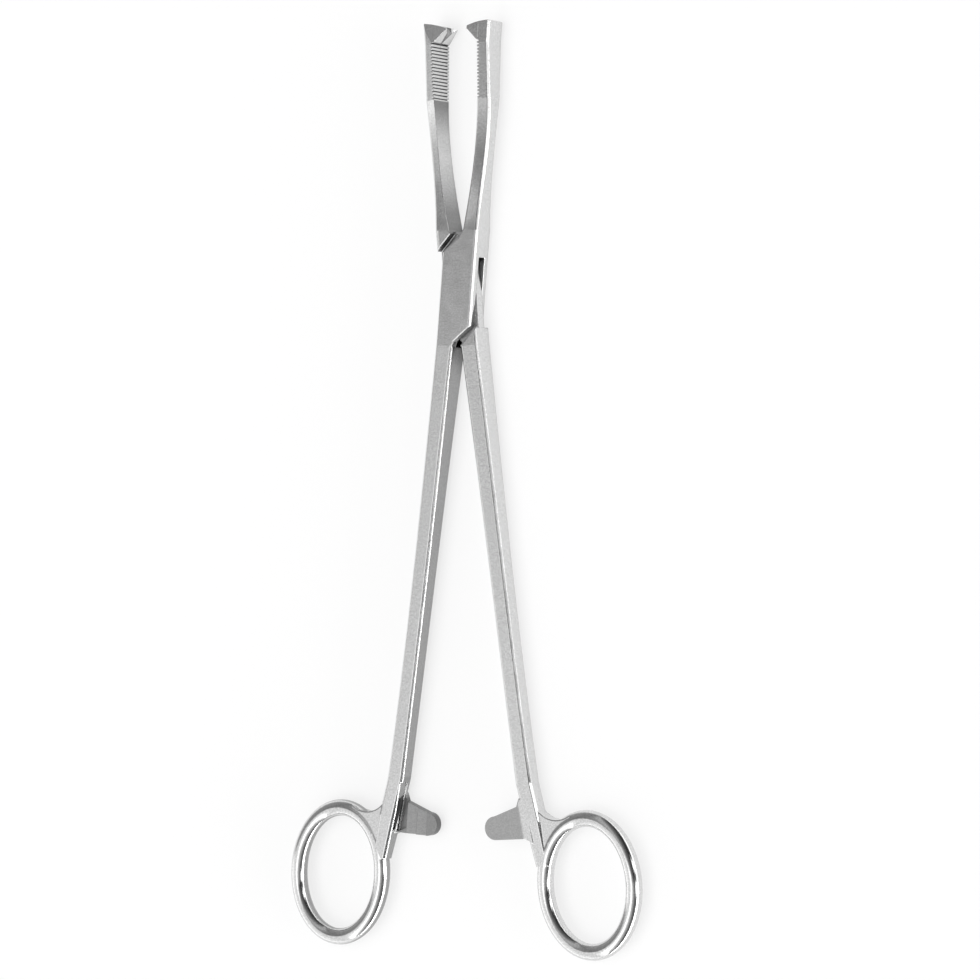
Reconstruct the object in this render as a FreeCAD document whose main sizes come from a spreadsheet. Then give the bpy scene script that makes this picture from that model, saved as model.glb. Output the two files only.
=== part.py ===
import FreeCAD, Part
import math
import os
import Sketcher

# Vulsellum forceps with a box lock, lying flat, in millimetres.
# Both halves are drawn closed, each along +Y from the pin to its jaw tip, and are then
# turned about the pin by half the rest opening. Heights in the drawings are measured
# from the middle plane of the instrument, and Placement lifts that plane to its place.

os.makedirs("parts", exist_ok=True)
doc = FreeCAD.newDocument("VulsellumForceps")
sheet = doc.addObject("Spreadsheet::Sheet", "Sizes")

SIZES = {
    # pose
    "rest_opening": 9.4,
    # box lock
    "lock_width": 9.8,
    "lock_depth": 7.2,
    "tongue_depth": 2.8,
    "slot_clearance": 0.06,
    "lock_flank": 9.0,
    "flank_clearance": 0.3,
    "flank_angle": 36.0,
    "shoulder_distance": 10.9,
    "cheek_gap": 0.8,
    "shoulder_angle": 42.7,
    "edge_bevel": 0.5,
    "corner_reach": 0.3,
    "tongue_inset": 0.15,
    "tongue_root": 0.5,
    "tongue_corner": 0.2,
    "slot_reach": 30.0,
    # pin
    "pin_diameter": 4.0,
    "pin_clearance": 0.03,
    # jaws
    "jaw_root": 15.5,
    "jaw_swell": 27.0,
    "jaw_waist": 42.0,
    "grip_start": 49.5,
    "grip_end": 64.0,
    "tip_length": 69.8,
    "root_gap": 0.9,
    "swell_gap": 2.1,
    "waist_gap": 2.6,
    "grip_gap": 2.5,
    "beak_gap": 1.55,
    "jaw_thickness": 3.0,
    "beak_thickness": 2.75,
    "jaw_bevel": 0.6,
    "root_thickness": 4.1,
    "waist_depth": 6.6,
    "grip_depth": 7.7,
    "tip_depth": 9.0,
    "swell_back": 5.4,
    "waist_back": 4.6,
    "grip_back": 5.9,
    "tip_back": 7.4,
    # prongs
    "beak_overlap": 0.4,
    "beak_corner": 0.3,
    "beak_crown": 0.25,
    "prong_reach": 2.4,
    "prong_point": 67.5,
    "prong_crest": 69.0,
    "prong_slope_top": 1.8,
    "prong_inner_half": 2.9,
    "prong_clearance": 0.12,
    "prong_wall": 0.3,
    "prong_facet_drop": 1.75,
    "prong_facet_lean": 0.16,
    "notch_floor": 2.9,
    "inner_notch_depth": 1.2,
    "cut_margin": 1.0,
    # cross serrations
    "groove_count": 17,
    "groove_pitch": 0.88,
    "groove_depth": 0.4,
    "groove_land": 0.09,
    # shanks
    "shank_root": 14.8,
    "shank_mid": 70.0,
    "shank_end_rise": 26.8,
    "root_offset": 2.5,
    "mid_offset": 5.25,
    "end_offset": 8.7,
    "shank_root_width": 4.9,
    "shank_upper_width": 4.75,
    "shank_upper_depth": 6.1,
    "shank_mid_width": 4.5,
    "shank_end_width": 4.7,
    "shank_mid_depth": 5.4,
    "shank_end_depth": 5.0,
    "shank_bevel": 0.65,
    "heel_rise": 16.8,
    "heel_offset": 10.5,
    "foot_rise": 5.3,
    "foot_offset": 12.3,
    "foot_width": 4.0,
    # finger rings
    "ring_offset": 24.7,
    "ring_distance": 154.8,
    "ring_half_width": 12.8,
    "ring_half_length": 17.0,
    "ring_wire": 4.3,
    "web_depth": 3.9,
    "web_start": 1.0,
    "web_crown": 1.2,
    # ratchet
    "ratchet_reach": 3.4,
    "ratchet_top_rise": 23.0,
    "ratchet_neck_rise": 20.9,
    "ratchet_root_width": 1.0,
    "ratchet_neck_width": 1.85,
    "ratchet_tip_rise": 15.7,
    "ratchet_tip_radius": 3.05,
    "ratchet_bottom_rise": 12.6,
    "ratchet_root_drop": 1.4,
    "ratchet_gap": 0.2,
    "recess_point": 25.8,
    "recess_point_offset": 6.95,
    "recess_foot_offset": 8.6,
    "tooth_count": 2,
    "tooth_pitch": 3.0,
    "tooth_height": 0.8,
    "tooth_crest": 0.2,
}
for row, (alias, value) in enumerate(SIZES.items(), start=1):
    sheet.set(f"A{row}", alias)
    sheet.set(f"B{row}", str(value))
    sheet.setAlias(f"B{row}", alias)
doc.recompute()


def size(alias):
    """The number that a named cell holds now."""
    return float(getattr(sheet, alias))


def bind(thing, path, formula):
    """Binds a property to a formula in the sheet's names, each written after a $."""
    thing.setExpression(path, formula.replace("$", "Sizes."))


def plane_of(body, role):
    """The origin plane of a body that has this role."""
    return next(item for item in body.Origin.OriginFeatures if item.Role == role)


def outline(body, name, plane, corners, offset="0"):
    """A closed sketch through corners, each (x, y) as formulas.
    A corner marked "arc" is the middle of the arc between its two neighbours."""
    sketch = body.newObject("Sketcher::SketchObject", name)
    sketch.AttachmentSupport = [(plane_of(body, plane), "")]
    sketch.MapMode = "FlatFace"
    bind(sketch, "AttachmentOffset.Base.z", offset)
    for index, corner in enumerate(corners):
        turn = 2 * math.pi * index / len(corners)
        sketch.addGeometry(Part.Point(FreeCAD.Vector(math.cos(turn), math.sin(turn), 0)), True)
        for kind, formula in (("DistanceX", corner[0]), ("DistanceY", corner[1])):
            number = sketch.addConstraint(Sketcher.Constraint(kind, -1, 1, index, 1, 1.0))
            bind(sketch, f"Constraints[{number}]", formula)
    doc.recompute()
    spots = [sketch.getPoint(index, 1) for index in range(len(corners))]
    ends = [index for index, corner in enumerate(corners) if len(corner) == 2]
    for place, first in enumerate(ends):
        last = ends[(place + 1) % len(ends)]
        middle = first + 1
        if middle < len(corners) and len(corners[middle]) == 3:
            edge = Part.Arc(spots[first], spots[middle], spots[last])
            arc = sketch.addGeometry(edge, False)
            start_is_first = sketch.getPoint(arc, 1).distanceToPoint(spots[first]) < 1e-6
            near, far = (1, 2) if start_is_first else (2, 1)
            sketch.addConstraint(Sketcher.Constraint("Coincident", arc, near, first, 1))
            sketch.addConstraint(Sketcher.Constraint("Coincident", arc, far, last, 1))
            sketch.addConstraint(Sketcher.Constraint("PointOnObject", middle, 1, arc))
        else:
            line = sketch.addGeometry(Part.LineSegment(spots[first], spots[last]), False)
            sketch.addConstraint(Sketcher.Constraint("Coincident", line, 1, first, 1))
            sketch.addConstraint(Sketcher.Constraint("Coincident", line, 2, last, 1))
    return sketch


def pad(body, name, sketch, depth):
    """A plate of this depth, its middle on the sketch's plane."""
    plate = body.newObject("PartDesign::Pad", name)
    plate.Profile = sketch
    plate.Midplane = True
    bind(plate, "Length", depth)
    doc.recompute()
    return plate


def pocket(body, name, sketch, depth):
    """A cut of this depth, its middle on the sketch's plane."""
    cut = body.newObject("PartDesign::Pocket", name)
    cut.Profile = sketch
    cut.Midplane = True
    bind(cut, "Length", depth)
    doc.recompute()
    return cut


def loft(body, name, sections, ruled):
    """A loft through the sections in their order."""
    solid = body.newObject("PartDesign::AdditiveLoft", name)
    solid.Profile = sections[0]
    solid.Sections = sections[1:]
    solid.Ruled = ruled
    doc.recompute()
    return solid


def times(sign, formula):
    """A formula on the +X or the -X side."""
    return f"{sign} * ({formula})"


# The jaw: a flat gripping face towards the other jaw and a narrower, bevelled back.

def jaw_section(body, name, side, station, gap, thickness, face_depth, back_depth, bevel="$jaw_bevel"):
    inner = times(side, gap)
    ridge = times(side, f"{gap} + {thickness} - {bevel}")
    outer = times(side, f"{gap} + {thickness}")
    corners = [
        (inner, f"-({face_depth}) / 2"),
        (ridge, f"-({back_depth}) / 2"),
        (outer, f"{bevel} - ({back_depth}) / 2"),
        (outer, f"({back_depth}) / 2 - {bevel}"),
        (ridge, f"({back_depth}) / 2"),
        (inner, f"({face_depth}) / 2"),
    ]
    return outline(body, name, "XZ_Plane", corners, f"-({station})")


def add_jaw(body, side):
    root = jaw_section(body, "JawRoot", side, "$jaw_root", "$root_gap", "$root_thickness",
                       "$lock_depth", "$lock_depth", "$edge_bevel")
    swell = jaw_section(body, "JawSwell", side, "$jaw_swell", "$swell_gap", "$jaw_thickness",
                        "($lock_depth + $waist_depth) / 2", "$swell_back")
    waist = jaw_section(body, "JawWaist", side, "$jaw_waist", "$waist_gap", "$jaw_thickness",
                        "$waist_depth", "$waist_back")
    start = jaw_section(body, "GripStart", side, "$grip_start", "$grip_gap", "$jaw_thickness",
                        "$grip_depth", "$grip_back")
    end = jaw_section(body, "GripEnd", side, "$grip_end", "$beak_gap", "$beak_thickness",
                      "$tip_depth", "$tip_back")
    loft(body, "JawBlade", [root, swell, waist, start], False)
    loft(body, "JawGrip", [start, end], True)


# The shank: a bevelled bar that leaves the lock on the other side and thins downwards.

def bar_section(body, name, side, station, offset, width, depth, bevel):
    left = f"{side} * ({offset}) - ({width}) / 2"
    right = f"{side} * ({offset}) + ({width}) / 2"
    low = f"-({depth}) / 2"
    high = f"({depth}) / 2"
    corners = [
        (f"{left} + {bevel}", low),
        (f"{right} - {bevel}", low),
        (right, f"{low} + {bevel}"),
        (right, f"{high} - {bevel}"),
        (f"{right} - {bevel}", high),
        (f"{left} + {bevel}", high),
        (left, f"{high} - {bevel}"),
        (left, f"{low} + {bevel}"),
    ]
    return outline(body, name, "XZ_Plane", corners, station)


def above_ring(rise):
    """The distance from the pin of what lies this far above the ring's centre."""
    return f"($ring_distance - {rise})"


SHANK_END = above_ring("$shank_end_rise")
HEEL = above_ring("$heel_rise")
FOOT = above_ring("$foot_rise")


def add_shank(body, side):
    root = bar_section(body, "ShankRoot", side, "$shank_root", "$root_offset",
                       "$shank_root_width", "$lock_depth", "$edge_bevel")
    upper = bar_section(body, "ShankUpper", side, "($shank_root + $shank_mid) / 2",
                        "($root_offset + $mid_offset) / 2", "$shank_upper_width",
                        "$shank_upper_depth", "$shank_bevel")
    middle = bar_section(body, "ShankMiddle", side, "$shank_mid", "$mid_offset",
                         "$shank_mid_width", "$shank_mid_depth", "$shank_bevel")
    end = bar_section(body, "ShankEnd", side, SHANK_END, "$end_offset",
                      "$shank_end_width", "$shank_end_depth", "$shank_bevel")
    heel = bar_section(body, "ShankHeel", side, HEEL, "$heel_offset",
                       "$shank_end_width", "$shank_end_depth", "$shank_bevel")
    foot = bar_section(body, "ShankFoot", side, FOOT, "$foot_offset",
                       "$foot_width", "$foot_width", "$shank_bevel")
    loft(body, "Shank", [root, upper, middle, end], False)
    loft(body, "ShankBend", [end, heel, foot], True)


# The finger ring: a round wire bent to an ellipse, with a web in the corner by the shank.

def add_ring(body, side):
    path = body.newObject("Sketcher::SketchObject", "RingPath")
    path.AttachmentSupport = [(plane_of(body, "XY_Plane"), "")]
    path.MapMode = "FlatFace"
    centre = FreeCAD.Vector(side * size("ring_offset"), -size("ring_distance"), 0)
    bottom = centre - FreeCAD.Vector(0, size("ring_half_length"), 0)
    flank = centre + FreeCAD.Vector(size("ring_half_width"), 0, 0)
    path.addGeometry(Part.Ellipse(bottom, flank, centre), False)
    path.exposeInternalGeometry(0)
    rules = [
        (Sketcher.Constraint("DistanceX", -1, 1, 0, 3, centre.x), times(side, "$ring_offset")),
        (Sketcher.Constraint("DistanceY", -1, 1, 0, 3, centre.y), "-$ring_distance"),
        (Sketcher.Constraint("Distance", 1, 2 * size("ring_half_length")), "2 * $ring_half_length"),
        (Sketcher.Constraint("Distance", 2, 2 * size("ring_half_width")), "2 * $ring_half_width"),
    ]
    for rule, formula in rules:
        bind(path, f"Constraints[{path.addConstraint(rule)}]", formula)
    path.addConstraint(Sketcher.Constraint("Vertical", 1))
    section = body.newObject("Sketcher::SketchObject", "RingSection")
    section.AttachmentSupport = [(plane_of(body, "YZ_Plane"), "")]
    section.MapMode = "FlatFace"
    bind(section, "AttachmentOffset.Base.z", times(side, "$ring_offset"))
    section.addGeometry(Part.Circle(FreeCAD.Vector(bottom.y, 0, 0), FreeCAD.Vector(0, 0, 1), 2.0), False)
    middle = section.addConstraint(Sketcher.Constraint("DistanceX", -1, 1, 0, 3, bottom.y))
    bind(section, f"Constraints[{middle}]", "-$ring_distance - $ring_half_length")
    section.addConstraint(Sketcher.Constraint("PointOnObject", 0, 3, -1))
    wire = section.addConstraint(Sketcher.Constraint("Diameter", 0, 4.0))
    bind(section, f"Constraints[{wire}]", "$ring_wire")
    ring = body.newObject("PartDesign::AdditivePipe", "Ring")
    ring.Profile = section
    ring.Spine = (path, ["Edge1"])
    doc.recompute()
    top = "-$ring_distance + $ring_half_length"
    crown = "$ring_offset - $ring_half_width / 4"
    web = [
        (times(side, "$end_offset"), f"-{SHANK_END} - $web_start"),
        (times(side, "$end_offset + $shank_end_width / 2"), f"-{SHANK_END} - $web_start"),
        (times(side, "$heel_offset + $shank_end_width * 3 / 4"), f"{top} + $web_start", "arc"),
        (times(side, crown), f"{top} + $web_crown"),
        (times(side, crown), f"{top} - $web_crown / 2"),
        (times(side, "$ring_offset - $ring_half_width * 3 / 4"), f"{top} - $ring_half_length * 0.3", "arc"),
        (times(side, "$foot_offset"), f"-{FOOT}"),
        (times(side, "$heel_offset"), f"-{HEEL}"),
    ]
    pad(body, "RingWeb", outline(body, "RingWebOutline", "XY_Plane", web), "$web_depth")


# The ratchet arm: a tongue towards the other half, flush with its own half's outer face.
# Saw teeth are cut across its inner face, and the cut runs on into the shank's edge.

def add_ratchet(body, side, upward):
    """upward is 1 for the arm whose teeth look up and which lies below the other."""
    crest = f"-({upward}) * $ratchet_gap / 2"
    foot = f"-({upward}) * ($ratchet_gap / 2 + $tooth_height)"
    over = f"({upward}) * $shank_end_depth"
    tip = "$ratchet_tip_radius - $ratchet_reach"
    tip_line = above_ring("$ratchet_tip_rise")
    shank_side = "$heel_offset - $shank_end_width / 2"
    arm = [
        (times(side, "$end_offset"), "-" + above_ring("$ratchet_top_rise")),
        (times(side, f"{shank_side} - $ratchet_root_width"), "-" + above_ring("$ratchet_top_rise")),
        (times(side, f"{shank_side} - $ratchet_neck_width"), "-" + above_ring("$ratchet_neck_rise")),
        (times(side, tip), f"-{tip_line} + $ratchet_tip_radius"),
        (times(side, "-$ratchet_reach"), f"-{tip_line}", "arc"),
        (times(side, tip), f"-{tip_line} - $ratchet_tip_radius"),
        (times(side, shank_side), "-" + above_ring("$ratchet_bottom_rise")),
        (times(side, "$heel_offset"), "-" + above_ring("$ratchet_bottom_rise") + " - $ratchet_root_drop"),
    ]
    thickness = "($shank_end_depth - $ratchet_gap) / 2"
    sketch = outline(body, "RatchetOutline", "XY_Plane", arm, f"-({upward}) * ($shank_end_depth + $ratchet_gap) / 4")
    pad(body, "RatchetArm", sketch, thickness)
    last_tooth = f"{tip} + $tooth_count * $tooth_pitch"
    recess = [
        (times(side, last_tooth), "-" + above_ring("$recess_point")),
        (times(side, "$recess_point_offset"), "-" + above_ring("$recess_point")),
        (times(side, "$recess_foot_offset"), "-" + above_ring("$ratchet_bottom_rise")),
        (times(side, last_tooth), "-" + above_ring("$ratchet_bottom_rise - $ratchet_root_drop")),
    ]
    sketch = outline(body, "RecessOutline", "XY_Plane", recess, f"({foot} + {over}) / 2")
    pocket(body, "Recess", sketch, "$shank_end_depth + $ratchet_gap / 2 + $tooth_height")
    tooth = [
        (times(side, tip), over),
        (times(side, tip), foot),
        (times(side, f"{tip} + $tooth_pitch - $tooth_crest"), crest),
        (times(side, f"{tip} + $tooth_pitch - $tooth_crest"), over),
    ]
    cut = pocket(body, "Tooth", outline(body, "ToothProfile", "XZ_Plane", tooth, tip_line),
                 "4 * $ratchet_tip_radius")
    teeth = body.newObject("PartDesign::LinearPattern", "Teeth")
    teeth.Originals = [cut]
    teeth.Direction = (plane_of(body, "X_Axis"), [""])
    teeth.Reversed = side < 0
    bind(teeth, "Length", "$tooth_pitch * ($tooth_count - 1)")
    bind(teeth, "Occurrences", "$tooth_count")
    body.Tip = teeth
    doc.recompute()


# The beak: the jaw's end turns inwards to two prongs that mesh with the other jaw's two.

def add_beak(body, side, prongs_outside):
    back = "$beak_gap + $beak_thickness"
    beak = [
        (times(side, "$beak_gap"), "$grip_end - $beak_overlap"),
        (times(side, "$beak_gap"), "$grip_end"),
        (times(side, "-$prong_reach"), "$prong_point"),
        (times(side, "$beak_gap"), "$prong_crest", "arc"),
        (times(side, f"{back} - $beak_corner"), "$tip_length - $beak_crown"),
        (times(side, back), "$tip_length - $beak_crown - $beak_corner"),
        (times(side, back), "$grip_end - $beak_overlap"),
    ]
    pad(body, "Beak", outline(body, "BeakOutline", "XY_Plane", beak), "$tip_depth")
    middle = "-($grip_end + $tip_length + $cut_margin) / 2"
    reach = "$tip_length + $cut_margin - $grip_end"
    for face in (-1, 1):
        corner = [
            (times(side, "$beak_gap"), times(face, "$tip_depth / 2")),
            (times(side, f"{back} - $jaw_bevel"), times(face, "$tip_back / 2")),
            (times(side, back), times(face, "$tip_back / 2 - $jaw_bevel")),
            (times(side, f"{back} + $cut_margin"), times(face, "$tip_back / 2 - $jaw_bevel")),
            (times(side, f"{back} + $cut_margin"), times(face, "$tip_depth / 2 + $cut_margin")),
            (times(side, "$beak_gap"), times(face, "$tip_depth / 2 + $cut_margin")),
        ]
        sketch = outline(body, f"BackSlope{face + 1}", "XZ_Plane", corner, f"{middle} + $beak_overlap / 2")
        pocket(body, f"BackCut{face + 1}", sketch, f"{reach} + $beak_overlap")
    far = "$prong_reach + $tip_depth / 2"
    if prongs_outside:
        notch = [
            (times(side, f"-({far})"), "-$tip_depth / 2"),
            (times(side, "-$prong_slope_top"), "-$tip_depth / 2"),
            (times(side, "$prong_reach"), "-$prong_inner_half"),
            (times(side, "$notch_floor"), "0", "arc"),
            (times(side, "$prong_reach"), "$prong_inner_half"),
            (times(side, "-$prong_slope_top"), "$tip_depth / 2"),
            (times(side, f"-({far})"), "$tip_depth / 2"),
        ]
        pocket(body, "Notch", outline(body, "NotchShape", "XZ_Plane", notch, middle), reach)
        return
    for face in (-1, 1):
        flank = [
            (times(side, "$prong_slope_top"), times(face, "$tip_depth / 2 - $prong_clearance")),
            (times(side, "-$prong_reach"), times(face, "$prong_inner_half - $prong_clearance")),
            (times(side, f"-({far})"), times(face, "$prong_inner_half - $prong_clearance")),
            (times(side, f"-({far})"), times(face, "$tip_depth / 2 + $cut_margin")),
            (times(side, "$prong_slope_top"), times(face, "$tip_depth / 2 + $cut_margin")),
        ]
        sketch = outline(body, f"ProngFlank{face + 1}", "XZ_Plane", flank, middle)
        pocket(body, f"ProngCut{face + 1}", sketch, reach)
        facet = [
            facet_section(body, f"Facet{face + 1}{end}", side, face, station, drop)
            for end, station, drop in (("Low", "$grip_end", "0"), ("High", "$tip_length", "$prong_facet_drop"))
        ]
        cut = body.newObject("PartDesign::SubtractiveLoft", f"ProngFacet{face + 1}")
        cut.Profile = facet[0]
        cut.Sections = facet[1:]
        cut.Ruled = True
        doc.recompute()
    notch = [
        (times(side, f"-({far})"), "$prong_wall - $prong_inner_half"),
        (times(side, "-$prong_reach"), "$prong_wall - $prong_inner_half"),
        (times(side, "$inner_notch_depth - $prong_reach"), "0", "arc"),
        (times(side, "-$prong_reach"), "$prong_inner_half - $prong_wall"),
        (times(side, f"-({far})"), "$prong_inner_half - $prong_wall"),
    ]
    pocket(body, "Notch", outline(body, "NotchShape", "XZ_Plane", notch, middle), reach)


def facet_section(body, name, side, face, station, drop):
    """What the slanting facet beside a prong takes off at one station along the jaw."""
    inner = "-$prong_reach - $cut_margin"
    outer = "$beak_gap + $beak_thickness + $cut_margin"
    height = f"$tip_depth / 2 - {drop}"
    corners = [
        (times(side, inner), times(face, f"{height} + ({inner} - $beak_gap) * $prong_facet_lean")),
        (times(side, outer), times(face, f"{height} + ({outer} - $beak_gap) * $prong_facet_lean")),
        (times(side, outer), times(face, "$tip_depth")),
        (times(side, inner), times(face, "$tip_depth")),
    ]
    return outline(body, name, "XZ_Plane", corners, f"-({station})")


# Cross serrations: a row of V grooves down the gripping face.

def add_serrations(body, side):
    line = outline(body, "GripLine", "XY_Plane", [
        (times(side, "$grip_gap"), "$grip_start"),
        (times(side, "$beak_gap"), "$grip_end"),
        (times(side, "$beak_gap - $cut_margin"), "$grip_end"),
    ])
    groove = [
        (times(side, "$grip_gap - $groove_depth"), "$grip_start + $groove_land"),
        (times(side, "$grip_gap + $groove_depth"), "$grip_start + $groove_pitch / 2"),
        (times(side, "$grip_gap - $groove_depth"), "$grip_start + $groove_pitch - $groove_land"),
    ]
    cut = pocket(body, "Groove", outline(body, "GrooveShape", "XY_Plane", groove), "$tip_depth * 2")
    row = body.newObject("PartDesign::LinearPattern", "Grooves")
    row.Originals = [cut]
    row.Direction = (line, ["Edge1"])
    bind(row, "Length", "$groove_pitch * ($groove_count - 1)")
    bind(row, "Occurrences", "$groove_count")
    body.Tip = row
    doc.recompute()


def bevel_long_edges(body, plate, name):
    """Bevels the plate's long edges at its outer sides, on both faces."""
    inside = size("lock_width") / 3
    half_depth = size("lock_depth") / 2
    chosen = []
    for number, edge in enumerate(plate.Shape.Edges, start=1):
        ends = [vertex.Point for vertex in edge.Vertexes]
        at_side = all(abs(p.x) > inside and abs(abs(p.z) - half_depth) < 0.001 for p in ends)
        if at_side and abs(ends[0].z - ends[1].z) < 0.001:
            chosen.append(f"Edge{number}")
    bevel = body.newObject("PartDesign::Chamfer", name)
    bevel.Base = (plate, chosen)
    bind(bevel, "Size", "$edge_bevel")
    doc.recompute()


def on_line(x, distance, slope_x, slope_y):
    """The y at x on the line whose points have x * slope_x + y * slope_y = distance."""
    return f"(({distance}) - ({x}) * {slope_x}) / {slope_y}"


SHOULDER = ("-sin($shoulder_angle * 1deg)", "cos($shoulder_angle * 1deg)")
FLANK = ("cos($flank_angle * 1deg)", "sin($flank_angle * 1deg)")
half_lock = "$lock_width / 2"
jaw_back = "$root_gap + $root_thickness"
shank_inner = "$root_offset - $shank_root_width / 2"
shank_outer = "$root_offset + $shank_root_width / 2"


def add_pin_hole(body, diameter):
    """A round hole right through at the pin."""
    sketch = body.newObject("Sketcher::SketchObject", "PinHoleShape")
    sketch.AttachmentSupport = [(plane_of(body, "XY_Plane"), "")]
    sketch.MapMode = "FlatFace"
    sketch.addGeometry(Part.Circle(FreeCAD.Vector(0, 0, 0), FreeCAD.Vector(0, 0, 1), 2.0), False)
    sketch.addConstraint(Sketcher.Constraint("Coincident", 0, 3, -1, 1))
    number = sketch.addConstraint(Sketcher.Constraint("Diameter", 0, 4.0))
    bind(sketch, f"Constraints[{number}]", diameter)
    pocket(body, "PinHole", sketch, "2 * $lock_depth")


def make_box_half():
    """The half with the slot: jaw on the +X side, shank and ring on the -X side."""
    body = doc.addObject("PartDesign::Body", "BoxHalf")
    body.Label = "box_half"
    cheek = "$shoulder_distance - $cheek_gap"
    lock = [
        (jaw_back, "$jaw_root"),
        (half_lock, "0"),
        (half_lock, "-" + on_line("-$lock_width / 2", cheek, *SHOULDER)),
        ("$corner_reach", "-" + on_line("-$corner_reach", cheek, *SHOULDER)),
        (f"-({shank_inner})", "-$shank_root"),
        (f"-({shank_outer})", "-$shank_root"),
        (f"-{half_lock}", "0"),
        (f"-{half_lock}", on_line("-$lock_width / 2", cheek, *SHOULDER)),
        ("-$corner_reach", on_line("-$corner_reach", cheek, *SHOULDER)),
        ("$root_gap", "$jaw_root"),
    ]
    block = pad(body, "Lock", outline(body, "LockOutline", "XY_Plane", lock), "$lock_depth")
    bevel_long_edges(body, block, "LockBevel")
    add_jaw(body, 1)
    add_shank(body, -1)
    add_ring(body, -1)
    add_beak(body, 1, True)
    add_ratchet(body, -1, 1)
    add_serrations(body, 1)
    slot = [
        (f"{along} * $slot_reach * {FLANK[1]} + {across} * $lock_flank * {FLANK[0]}",
         f"{along} * -$slot_reach * {FLANK[0]} + {across} * $lock_flank * {FLANK[1]}")
        for along, across in ((-1, -1), (1, -1), (1, 1), (-1, 1))
    ]
    pocket(body, "Slot", outline(body, "SlotOutline", "XY_Plane", slot),
           "$tongue_depth + 2 * $slot_clearance")
    add_pin_hole(body, "$pin_diameter")
    return body


def make_through_half():
    """The half with the tongue: jaw on the -X side, shank and ring on the +X side."""
    body = doc.addObject("PartDesign::Body", "ThroughHalf")
    body.Label = "through_half"
    flank = "$lock_flank - $flank_clearance"
    side = "($lock_width / 2 - $tongue_inset)"
    root = "$shoulder_distance + $tongue_root"
    tongue = [
        (f"-{side}", on_line(f"-{side}", root, *SHOULDER)),
        ("-$root_gap", "$jaw_root - $tongue_root"),
        ("-$tongue_corner", "$jaw_root - $tongue_root"),
        (side, on_line(side, flank, *FLANK)),
        (side, "-" + on_line(f"-{side}", root, *SHOULDER)),
        ("$root_gap", "$tongue_root - $jaw_root"),
        ("$tongue_corner", "$tongue_root - $jaw_root"),
        (f"-{side}", "-" + on_line(side, flank, *FLANK)),
    ]
    pad(body, "Tongue", outline(body, "TongueOutline", "XY_Plane", tongue), "$tongue_depth")
    upper = [
        (f"-({jaw_back})", "$jaw_root"),
        ("-$lock_width / 2", on_line("-$lock_width / 2", "$shoulder_distance", *SHOULDER)),
        ("-$tongue_root", on_line("-$tongue_root", "$shoulder_distance", *SHOULDER)),
        ("-$root_gap", "$jaw_root"),
    ]
    block = pad(body, "JawShoulder", outline(body, "JawShoulderOutline", "XY_Plane", upper), "$lock_depth")
    bevel_long_edges(body, block, "JawShoulderBevel")
    lower = [
        (shank_outer, "-$shank_root"),
        (half_lock, "-" + on_line("-$lock_width / 2", "$shoulder_distance", *SHOULDER)),
        ("$tongue_root", "-" + on_line("-$tongue_root", "$shoulder_distance", *SHOULDER)),
        (shank_inner, "-$shank_root"),
    ]
    block = pad(body, "ShankShoulder", outline(body, "ShankShoulderOutline", "XY_Plane", lower), "$lock_depth")
    bevel_long_edges(body, block, "ShankShoulderBevel")
    add_jaw(body, -1)
    add_shank(body, 1)
    add_ring(body, 1)
    add_beak(body, -1, False)
    add_ratchet(body, 1, -1)
    add_serrations(body, -1)
    add_pin_hole(body, "$pin_diameter + 2 * $pin_clearance")
    return body


def make_pin():
    """The pin, its ends ground flush with the cheeks."""
    pin = doc.addObject("Part::Cylinder", "LockPin")
    pin.Label = "lock_pin"
    bind(pin, "Radius", "$pin_diameter / 2")
    bind(pin, "Height", "$lock_depth")
    return pin


def place(piece, turn, lift):
    """Turns a piece about the pin by turn degrees and lifts it."""
    bind(piece, "Placement.Rotation.Angle", turn)
    bind(piece, "Placement.Base.z", lift)


box_half = make_box_half()
through_half = make_through_half()
lock_pin = make_pin()
place(box_half, "-$rest_opening / 2", "$lock_depth / 2")
place(through_half, "$rest_opening / 2", "$lock_depth / 2")
doc.recompute()

for item in doc.Objects:
    if {"Invalid", "Error"} & set(item.State):
        raise RuntimeError(f"{item.Name} failed: {item.State}")
for piece in (box_half, through_half, lock_pin):
    if piece.Shape.isNull() or not piece.Shape.isValid():
        raise RuntimeError(f"{piece.Label} has no valid shape")
    piece.Shape.exportStep(f"parts/{piece.Label}.step")
    box = piece.Shape.BoundBox
    print(piece.Label, len(piece.Shape.Solids), round(piece.Shape.Volume, 1),
          [round(v, 2) for v in (box.XMin, box.YMin, box.ZMin, box.XMax, box.YMax, box.ZMax)])
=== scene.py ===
import math

import bmesh
import bpy
from mathutils import Matrix, Vector


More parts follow.
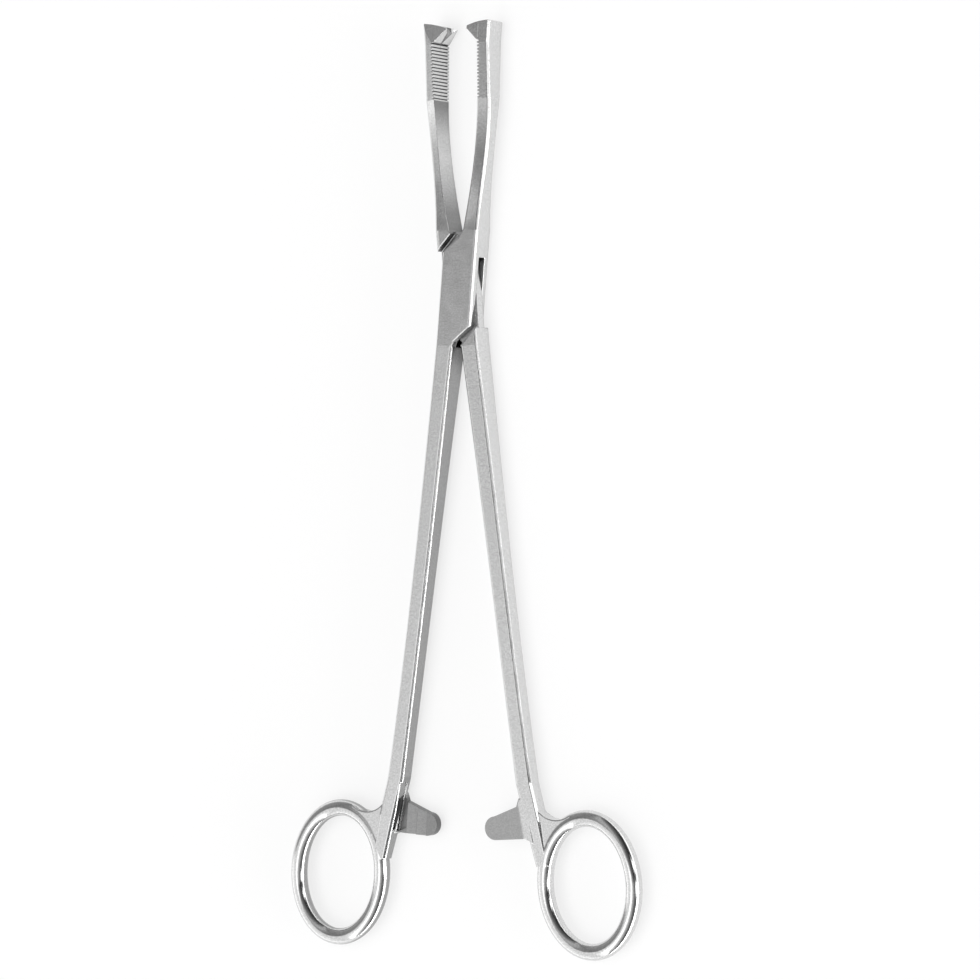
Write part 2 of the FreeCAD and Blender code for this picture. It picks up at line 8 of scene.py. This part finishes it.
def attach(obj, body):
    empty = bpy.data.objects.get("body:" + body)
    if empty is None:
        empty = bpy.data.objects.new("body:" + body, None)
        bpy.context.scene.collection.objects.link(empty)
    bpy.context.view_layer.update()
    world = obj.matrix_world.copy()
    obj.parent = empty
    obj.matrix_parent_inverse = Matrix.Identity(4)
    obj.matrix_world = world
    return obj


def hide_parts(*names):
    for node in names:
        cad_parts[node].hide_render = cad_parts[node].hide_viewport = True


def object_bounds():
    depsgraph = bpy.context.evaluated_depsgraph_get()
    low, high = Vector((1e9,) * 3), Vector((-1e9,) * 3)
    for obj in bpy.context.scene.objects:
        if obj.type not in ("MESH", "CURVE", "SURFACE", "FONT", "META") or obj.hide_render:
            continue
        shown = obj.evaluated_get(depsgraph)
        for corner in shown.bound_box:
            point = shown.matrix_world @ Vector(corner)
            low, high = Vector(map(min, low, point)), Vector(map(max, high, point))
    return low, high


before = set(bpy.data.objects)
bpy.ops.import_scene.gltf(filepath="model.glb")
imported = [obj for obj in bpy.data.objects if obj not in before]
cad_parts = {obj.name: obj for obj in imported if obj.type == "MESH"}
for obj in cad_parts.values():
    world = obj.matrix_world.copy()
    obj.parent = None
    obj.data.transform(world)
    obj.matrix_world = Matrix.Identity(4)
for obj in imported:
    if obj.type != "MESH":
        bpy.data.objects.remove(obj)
solid_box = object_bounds()
scene = bpy.context.scene
scene.view_settings.view_transform = "Standard"


# Nodes. These few functions write the node trees of the paper, the studio
# and the steel.

def hex_colour(text):
    """A written screen colour as the linear colour that a shader takes."""
    channels = [int(text[i:i + 2], 16) / 255 for i in (1, 3, 5)]
    linear = [c / 12.92 if c <= 0.04045 else ((c + 0.055) / 1.055) ** 2.4 for c in channels]
    return (*linear, 1.0)


def add_node(tree, kind, place=(0, 0), inputs=None, **settings):
    """One node of a tree, with its settings and the values of its inputs."""
    node = tree.nodes.new(kind)
    node.location = place
    for name, value in settings.items():
        setattr(node, name, value)
    for name, value in (inputs or {}).items():
        node.inputs[name].default_value = value
    return node


def wire(tree, *pairs):
    """One link for each pair of an output and an input."""
    for source, target in pairs:
        tree.links.new(source, target)


def between(tree, place, span, levels=(0.0, 1.0)):
    """A node that turns the first and last value of span into the two levels."""
    return add_node(tree, "ShaderNodeMapRange", place,
                    {"From Min": span[0], "From Max": span[1], "To Min": levels[0], "To Max": levels[1]})


def level_ramp(tree, place, stops, top):
    """A ramp through stops of (position, level), from the first position to the last."""
    ramp = add_node(tree, "ShaderNodeValToRGB", place)
    ramp.color_ramp.interpolation = "LINEAR"
    ramp.color_ramp.elements.remove(ramp.color_ramp.elements[1])
    low, high = stops[0][0], stops[-1][0]
    for position, level in stops:
        if position == low:
            stop = ramp.color_ramp.elements[0]
        else:
            stop = ramp.color_ramp.elements.new((position - low) / (high - low))
        stop.color = (level / top,) * 3 + (1,)
    scaled = add_node(tree, "ShaderNodeMath", (place[0] + 300, place[1]), {1: top}, operation="MULTIPLY")
    wire(tree, (ramp.outputs["Color"], scaled.inputs[0]))
    return ramp.inputs["Fac"], scaled.outputs[0]


# Table. The instrument lies flat on plain white paper that runs on past the
# picture. The paper glows a little for the camera and in the steel, so that
# it is white there, and still takes the faint shadow.

PAPER_WHITE = hex_colour("#f7f7f7")
GLOW_WHITE = hex_colour("#ffffff")
PAPER_GLOW = 0.75
PAPER_REACH = 4.0
PAPER_GAP = 0.00002
PAPER_CORNERS = ((-1, -1), (1, -1), (1, 1), (-1, 1))

paper_height = solid_box[0][2] - PAPER_GAP
paper_mesh = bpy.data.meshes.new("paper")
paper_mesh.from_pydata(
    [(x * PAPER_REACH, y * PAPER_REACH, paper_height) for x, y in PAPER_CORNERS], [], [(0, 1, 2, 3)])
paper = bpy.data.objects.new("paper", paper_mesh)
scene.collection.objects.link(paper)

# Smooth white card, matte.
white_paper = bpy.data.materials.new("white_paper")
white_paper.use_nodes = True
tree = white_paper.node_tree
tree.nodes.clear()
sheet = add_node(tree, "ShaderNodeBsdfDiffuse", (0, 0), {"Color": PAPER_WHITE})
glow = add_node(tree, "ShaderNodeEmission", (0, -200), {"Color": GLOW_WHITE, "Strength": 1.0})
rays = add_node(tree, "ShaderNodeLightPath", (-600, 200))
seen = add_node(tree, "ShaderNodeMath", (-400, 200), operation="MAXIMUM")
through = add_node(tree, "ShaderNodeMath", (-200, 200), operation="MAXIMUM")
share = add_node(tree, "ShaderNodeMath", (0, 200), {1: PAPER_GLOW}, operation="MULTIPLY")
mix = add_node(tree, "ShaderNodeMixShader", (200, 0))
output = add_node(tree, "ShaderNodeOutputMaterial", (400, 0))
wire(tree,
     (rays.outputs["Is Camera Ray"], seen.inputs[0]),
     (rays.outputs["Is Glossy Ray"], seen.inputs[1]),
     (seen.outputs[0], through.inputs[0]),
     (rays.outputs["Is Transmission Ray"], through.inputs[1]),
     (through.outputs[0], share.inputs[0]),
     (share.outputs[0], mix.inputs["Fac"]),
     (sheet.outputs[0], mix.inputs[1]),
     (glow.outputs[0], mix.inputs[2]),
     (mix.outputs[0], output.inputs["Surface"]))
paper_mesh.materials.append(white_paper)


# Studio. Soft panels and dark gaps run along the instrument on both sides.
# The panels draw the bright lines down its bevels, and the gaps leave its
# flats a middle grey.

# Light level by the angle from straight up towards +X, in degrees.
STUDIO = [
    (-180, 0.50), (-95, 0.46), (-72, 0.38), (-60, 0.30), (-46, 0.30), (-36, 0.24), (-26, 0.26),
    (-14, 0.52), (-6, 0.54), (6, 0.23), (16, 0.13), (24, 0.14), (32, 0.05), (68, 0.03),
    (76, 1.90), (88, 2.00), (180, 0.60),
]
STUDIO_TOP = 2.0
# The panels are brighter towards the finger rings than towards the tips.
LENGTHWISE_LEAN = (-0.04, 0.05)
LENGTHWISE_LEVELS = (3.7, 1.0)
# A narrow strip light draws the ridge of the jaw: its level by angle, then by lean along Y.
RIDGE_BAND = [(-180, 0.0), (44, 0.0), (52, 2.2), (72, 2.2), (80, 0.0), (180, 0.0)]
RIDGE_TOP = 2.2
RIDGE_REACH = [(-0.5, 0.0), (-0.15, 0.0), (-0.11, 1.0), (0.02, 1.0), (0.05, 0.0),
               (0.19, 0.0), (0.22, 1.0), (0.34, 1.0), (0.38, 0.0), (0.5, 0.0)]

studio = bpy.data.worlds.new("studio")
scene.world = studio
studio.use_nodes = True
tree = studio.node_tree
background = tree.nodes["Background"]
background.inputs["Color"].default_value = GLOW_WHITE
look = add_node(tree, "ShaderNodeTexCoord", (-1200, 0))
split = add_node(tree, "ShaderNodeSeparateXYZ", (-1000, 0))
angle = add_node(tree, "ShaderNodeMath", (-800, 0), operation="ARCTAN2")
around = between(tree, (-600, 0), (-math.pi, math.pi))
along = between(tree, (-600, -600), (RIDGE_REACH[0][0], RIDGE_REACH[-1][0]))
studio_in, studio_level = level_ramp(tree, (-400, 0), STUDIO, STUDIO_TOP)
band_in, band_level = level_ramp(tree, (-400, -300), RIDGE_BAND, RIDGE_TOP)
reach_in, reach_level = level_ramp(tree, (-400, -600), RIDGE_REACH, 1.0)
lengthwise = between(tree, (-400, -900), LENGTHWISE_LEAN, LENGTHWISE_LEVELS)
graded = add_node(tree, "ShaderNodeMath", (100, 0), operation="MULTIPLY")
ridge = add_node(tree, "ShaderNodeMath", (100, -300), operation="MULTIPLY")
total = add_node(tree, "ShaderNodeMath", (300, 0), operation="ADD")
wire(tree,
     (look.outputs["Generated"], split.inputs[0]),
     (split.outputs["X"], angle.inputs[0]),
     (split.outputs["Z"], angle.inputs[1]),
     (angle.outputs[0], around.inputs["Value"]),
     (around.outputs[0], studio_in),
     (around.outputs[0], band_in),
     (split.outputs["Y"], along.inputs["Value"]),
     (along.outputs[0], reach_in),
     (split.outputs["Y"], lengthwise.inputs["Value"]),
     (studio_level, graded.inputs[0]),
     (lengthwise.outputs[0], graded.inputs[1]),
     (band_level, ridge.inputs[0]),
     (reach_level, ridge.inputs[1]),
     (graded.outputs[0], total.inputs[0]),
     (ridge.outputs[0], total.inputs[1]),
     (total.outputs[0], background.inputs["Strength"]))

# A broad soft panel overhead lights the paper and gives the faint shadow.
PANEL_SIZE = 1.6
PANEL_POWER = 13
PANEL_PLACE = (0, -0.05, 1.6)

panel_light = bpy.data.lights.new("overhead_panel", "AREA")
panel_light.shape = "SQUARE"
panel_light.size = PANEL_SIZE
panel_light.energy = PANEL_POWER
panel = bpy.data.objects.new("overhead_panel", panel_light)
panel.location = PANEL_PLACE
panel.visible_glossy = False
scene.collection.objects.link(panel)


# Camera. The instrument is seen turned about its own length by thirty
# degrees, from a metre away through a long lens, with its tips at the top.

VIEW_TURN = math.radians(30)
VIEW_DISTANCE = 1.07
VIEW_LENS = 152
SENSOR_WIDTH = 36
VIEW_ASIDE = 0.0070
VIEW_DOWN = 0.0518
LOCK_MIDDLE = 0.0036

towards_camera = Vector((math.sin(VIEW_TURN), 0, math.cos(VIEW_TURN)))
image_right = Vector((math.cos(VIEW_TURN), 0, -math.sin(VIEW_TURN)))
aim_point = Vector((0, -VIEW_DOWN, LOCK_MIDDLE)) + VIEW_ASIDE * image_right
camera_data = bpy.data.cameras.new("camera")
camera_data.lens = VIEW_LENS
camera_data.sensor_width = SENSOR_WIDTH
camera = bpy.data.objects.new("camera", camera_data)
camera.location = aim_point + VIEW_DISTANCE * towards_camera
camera.rotation_euler = (0, VIEW_TURN, 0)
scene.collection.objects.link(camera)
scene.camera = camera


# Satin steel. Both halves and the pin are stainless steel, ground and then
# blasted to a fine satin, with the finger rings polished a little brighter.

STEEL = hex_colour("#dadada")

satin_steel = bpy.data.materials.new("satin_steel")
satin_steel.use_nodes = True
tree = satin_steel.node_tree
shader = tree.nodes["Principled BSDF"]
shader.inputs["Metallic"].default_value = 1.0
place = add_node(tree, "ShaderNodeTexCoord", (-1400, 0))
axes = add_node(tree, "ShaderNodeSeparateXYZ", (-1200, 200))
wire(tree, (place.outputs["Object"], axes.inputs[0]))

# Grain: fine pits of the blasting, and slow clouds in the gloss.
GRAIN_SCALE = 2500.0
CLOUD_SCALE = 260.0
NOISE_SPAN = (0.3, 0.7)
GRAIN_TONES = (0.84, 1.12)
SATIN_ROUGHNESS = (0.19, 0.26)
RING_ROUGHNESS = (0.10, 0.16)
RING_BLEND = (-0.136, -0.118)

grain = add_node(tree, "ShaderNodeTexNoise", (-1200, -300),
                 {"Scale": GRAIN_SCALE, "Detail": 3.0, "Roughness": 0.6})
cloud = add_node(tree, "ShaderNodeTexNoise", (-1200, 0), {"Scale": CLOUD_SCALE, "Detail": 4.0})
tone = between(tree, (-600, 600), NOISE_SPAN, GRAIN_TONES)
shank_part = between(tree, (-1000, 200), RING_BLEND)
ring_gloss = between(tree, (-800, 100), NOISE_SPAN, RING_ROUGHNESS)
satin_gloss = between(tree, (-800, -100), NOISE_SPAN, SATIN_ROUGHNESS)
gloss = add_node(tree, "ShaderNodeMix", (-600, 0), data_type="FLOAT")
wire(tree,
     (place.outputs["Object"], grain.inputs["Vector"]),
     (place.outputs["Object"], cloud.inputs["Vector"]),
     (grain.outputs["Fac"], tone.inputs["Value"]),
     (cloud.outputs["Fac"], ring_gloss.inputs["Value"]),
     (cloud.outputs["Fac"], satin_gloss.inputs["Value"]),
     (axes.outputs["Y"], shank_part.inputs["Value"]),
     (shank_part.outputs[0], gloss.inputs[0]),
     (ring_gloss.outputs[0], gloss.inputs[2]),
     (satin_gloss.outputs[0], gloss.inputs[3]))

# Crevices: painted shade. Ambient occlusion darkens the colour inside the slot, the serrations and the
# notch, and along the lower edges next to the paper.
CREVICE_REACH = 0.005
CREVICE_OPEN = (0.15, 0.68)
CREVICE_SHADE_TONES = (0.12, 1.0)

shade = add_node(tree, "ShaderNodeAmbientOcclusion", (-600, 400), {"Distance": CREVICE_REACH}, samples=8)
# painted shade in the crevices and along the lower edges
crevice_shade = between(tree, (-400, 400), CREVICE_OPEN, CREVICE_SHADE_TONES)
wire(tree, (shade.outputs["AO"], crevice_shade.inputs["Value"]))

# Ratchet pads: between the shanks the steel stays matte from the cutter, and its colour is darkened there
# as painted shade, most of all on the left arm, whose recess lies in shade.
PAD_TOP = (-0.1268, -0.1262)
PAD_SIDE = (-0.0090, -0.0084)
PAD_LEAN = 0.2
PAD_SHADE_TONES = (0.46, 0.62)
PAD_MIDDLE = (-0.001, 0.001)
PAD_ROUGHNESS = 0.34

side = add_node(tree, "ShaderNodeMath", (-1000, 800), operation="ABSOLUTE")
lean = add_node(tree, "ShaderNodeMath", (-800, 800), {1: PAD_LEAN}, operation="MULTIPLY_ADD")
inward = between(tree, (-600, 800), PAD_SIDE, (1.0, 0.0))
below = between(tree, (-600, 1000), PAD_TOP, (1.0, 0.0))
pad = add_node(tree, "ShaderNodeMath", (-400, 800), operation="MULTIPLY")
# painted shade on the pads, darker on the left arm than on the right
pad_shade_level = between(tree, (-400, 1000), PAD_MIDDLE, PAD_SHADE_TONES)
pad_painted_shade = between(tree, (-200, 800), (0.0, 1.0), (1.0, 1.0))
rough = add_node(tree, "ShaderNodeMix", (-400, 0), {3: PAD_ROUGHNESS}, data_type="FLOAT")
wire(tree,
     (axes.outputs["X"], side.inputs[0]),
     (axes.outputs["Y"], lean.inputs[0]),
     (side.outputs[0], lean.inputs[2]),
     (lean.outputs[0], inward.inputs["Value"]),
     (axes.outputs["Y"], below.inputs["Value"]),
     (inward.outputs[0], pad.inputs[0]),
     (below.outputs[0], pad.inputs[1]),
     (axes.outputs["X"], pad_shade_level.inputs["Value"]),
     (pad.outputs[0], pad_painted_shade.inputs["Value"]),
     (pad_shade_level.outputs[0], pad_painted_shade.inputs["To Max"]),
     (pad.outputs[0], rough.inputs[0]),
     (gloss.outputs[0], rough.inputs[2]),
     (rough.outputs[0], shader.inputs["Roughness"]))

# Edges: every edge is broken a little, less on the jaws and the pads, and
# round the pin not at all, because it is ground flush.
EDGE_ROUNDING = (0.00050, 0.00028)
EDGE_BLEND = (0.034, 0.040)
PAD_EDGE = 0.2
PIN_FLUSH = (0.0023, 0.0028)
BUMP_STRENGTH = 0.12
BUMP_HEIGHT = 0.00003

across = add_node(tree, "ShaderNodeVectorMath", (-1200, -600), {1: (1, 1, 0)}, operation="MULTIPLY")
from_pin = add_node(tree, "ShaderNodeVectorMath", (-1000, -600), operation="LENGTH")
off_pin = between(tree, (-800, -600), PIN_FLUSH)
wear = between(tree, (-800, -400), EDGE_BLEND, EDGE_ROUNDING)
off_pads = between(tree, (-800, -800), (0.0, 1.0), (1.0, PAD_EDGE))
rounding = add_node(tree, "ShaderNodeMath", (-700, -500), operation="MULTIPLY")
keen = add_node(tree, "ShaderNodeMath", (-650, -600), operation="MULTIPLY")
edges = add_node(tree, "ShaderNodeBevel", (-600, -400), samples=8)
bump = add_node(tree, "ShaderNodeBump", (-300, -400), {"Strength": BUMP_STRENGTH, "Distance": BUMP_HEIGHT})
wire(tree,
     (place.outputs["Object"], across.inputs[0]),
     (across.outputs[0], from_pin.inputs[0]),
     (from_pin.outputs["Value"], off_pin.inputs["Value"]),
     (axes.outputs["Y"], wear.inputs["Value"]),
     (wear.outputs[0], rounding.inputs[0]),
     (off_pin.outputs[0], rounding.inputs[1]),
     (pad.outputs[0], off_pads.inputs["Value"]),
     (rounding.outputs[0], keen.inputs[0]),
     (off_pads.outputs[0], keen.inputs[1]),
     (keen.outputs[0], edges.inputs["Radius"]),
     (grain.outputs["Fac"], bump.inputs["Height"]),
     (edges.outputs[0], bump.inputs["Normal"]),
     (bump.outputs[0], shader.inputs["Normal"]))

# Throat: painted shade and painted reflection on the inward sides on the left, a middle grey along the
# shank, and in the throat of the jaw darker towards the lock and the serrations, standing in for the other
# jaw and the surroundings seen in them. Tone by the place along Y, on faces that stand upright.
THROAT_SHADE = [(0.000, 0.5), (0.012, 0.34), (0.020, 0.38), (0.027, 0.70), (0.034, 0.92), (0.040, 0.80),
          (0.0475, 0.36), (0.0490, 0.34), (0.0492, 1.0), (0.070, 1.0)]
UPRIGHT_FACES = (0.3, 0.5)
LEFT_SIDE = (0.001, 0.003)

normals = add_node(tree, "ShaderNodeSeparateXYZ", (-1200, 1200))
upright = between(tree, (-1000, 1200), UPRIGHT_FACES, (1.0, 0.0))
leftward = between(tree, (-1000, 1400), LEFT_SIDE, (1.0, 0.0))
reach = between(tree, (-1000, 1600), (THROAT_SHADE[0][0], THROAT_SHADE[-1][0]))
# painted shade along the throat, by the place along Y
reach_in, throat_shade_level = level_ramp(tree, (-800, 1600), THROAT_SHADE, 1.0)
throat_shade_mask = add_node(tree, "ShaderNodeMath", (-800, 1300), operation="MULTIPLY")
throat_painted_shade = add_node(tree, "ShaderNodeMix", (-500, 1300), {2: 1.0}, data_type="FLOAT")
wire(tree,
     (edges.outputs[0], normals.inputs[0]),
     (normals.outputs["Z"], upright.inputs["Value"]),
     (axes.outputs["X"], leftward.inputs["Value"]),
     (axes.outputs["Y"], reach.inputs["Value"]),
     (reach.outputs[0], reach_in),
     (upright.outputs[0], throat_shade_mask.inputs[0]),
     (leftward.outputs[0], throat_shade_mask.inputs[1]),
     (throat_shade_mask.outputs[0], throat_painted_shade.inputs[0]),
     (throat_shade_level, throat_painted_shade.inputs[3]))

# The painted shade of the crevices, the pads and the throat, and the random tone of the grain, together
# darken the steel's own colour.
shades_and_grain = (crevice_shade, pad_painted_shade, throat_painted_shade, tone)
product = shades_and_grain[0].outputs[0]
for step, level in enumerate(shades_and_grain[1:]):
    times = add_node(tree, "ShaderNodeMath", (-200 + 100 * step, 500), operation="MULTIPLY")
    wire(tree, (product, times.inputs[0]), (level.outputs[0], times.inputs[1]))
    product = times.outputs[0]
colour = add_node(tree, "ShaderNodeMix", (100, 400), {0: 1.0, 6: STEEL},
                  data_type="RGBA", blend_type="MULTIPLY")
wire(tree, (product, colour.inputs[7]), (colour.outputs[2], shader.inputs["Base Color"]))

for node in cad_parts.values():
    node.data.materials.clear()
    node.data.materials.append(satin_steel)


# Inner prongs. The half that passes through the lock is the CAD half again,
# with the notch between its two prongs sunk down to the serrations.

REST_TURN = math.radians(4.7)
NOTCH_MOUTH = 0.0030
NOTCH_HALF_WIDTH = 0.0018
NOTCH_FLOOR = -0.0017
NOTCH_SPAN = (0.0502, 0.0730)
MERGE_DISTANCE = 0.000001


def notch_cutter():
    """A wedge that lies along the jaw, its edge at the notch's floor, turned as the jaw rests."""
    shape = bmesh.new()
    section = [(NOTCH_MOUTH, -NOTCH_HALF_WIDTH), (NOTCH_MOUTH, NOTCH_HALF_WIDTH), (NOTCH_FLOOR, 0)]
    ends = [[shape.verts.new((x, y, LOCK_MIDDLE + z)) for x, z in section] for y in NOTCH_SPAN]
    shape.faces.new(ends[0])
    shape.faces.new(reversed(ends[1]))
    for a in range(3):
        b = (a + 1) % 3
        shape.faces.new((ends[0][a], ends[1][a], ends[1][b], ends[0][b]))
    bmesh.ops.recalc_face_normals(shape, faces=shape.faces)
    shape.transform(Matrix.Rotation(REST_TURN, 4, "Z"))
    mesh = bpy.data.meshes.new("notch_cutter")
    shape.to_mesh(mesh)
    shape.free()
    return bpy.data.objects.new("notch_cutter", mesh)


def notched_half(node, cutter):
    """The node's mesh, merged with its creases kept, and the cutter's wedge taken out of it."""
    shape = bmesh.new()
    shape.from_mesh(node.data)
    # The CAD mesh is open along the border of each CAD face: those edges stay creased.
    for edge in shape.edges:
        edge.smooth = not edge.is_boundary
    bmesh.ops.remove_doubles(shape, verts=shape.verts, dist=MERGE_DISTANCE)
    whole = bpy.data.meshes.new("whole_half")
    shape.to_mesh(whole)
    shape.free()
    # The stored normals no longer fit the merged corners, so the creases take their place.
    whole.attributes.remove(whole.attributes["custom_normal"])
    half = bpy.data.objects.new("notched_half", whole)
    scene.collection.objects.link(half)
    cut = half.modifiers.new("notch", "BOOLEAN")
    cut.operation = "DIFFERENCE"
    cut.solver = "EXACT"
    cut.object = cutter
    done = bpy.data.meshes.new_from_object(half.evaluated_get(bpy.context.evaluated_depsgraph_get()))
    half.modifiers.clear()
    half.data = done
    return half


wedge = notch_cutter()
scene.collection.objects.link(wedge)
toothed_half = notched_half(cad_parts["through_half"], wedge)
bpy.data.objects.remove(wedge)
toothed_half.data.materials.clear()
toothed_half.data.materials.append(satin_steel)
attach(toothed_half, "through_half")
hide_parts("through_half")
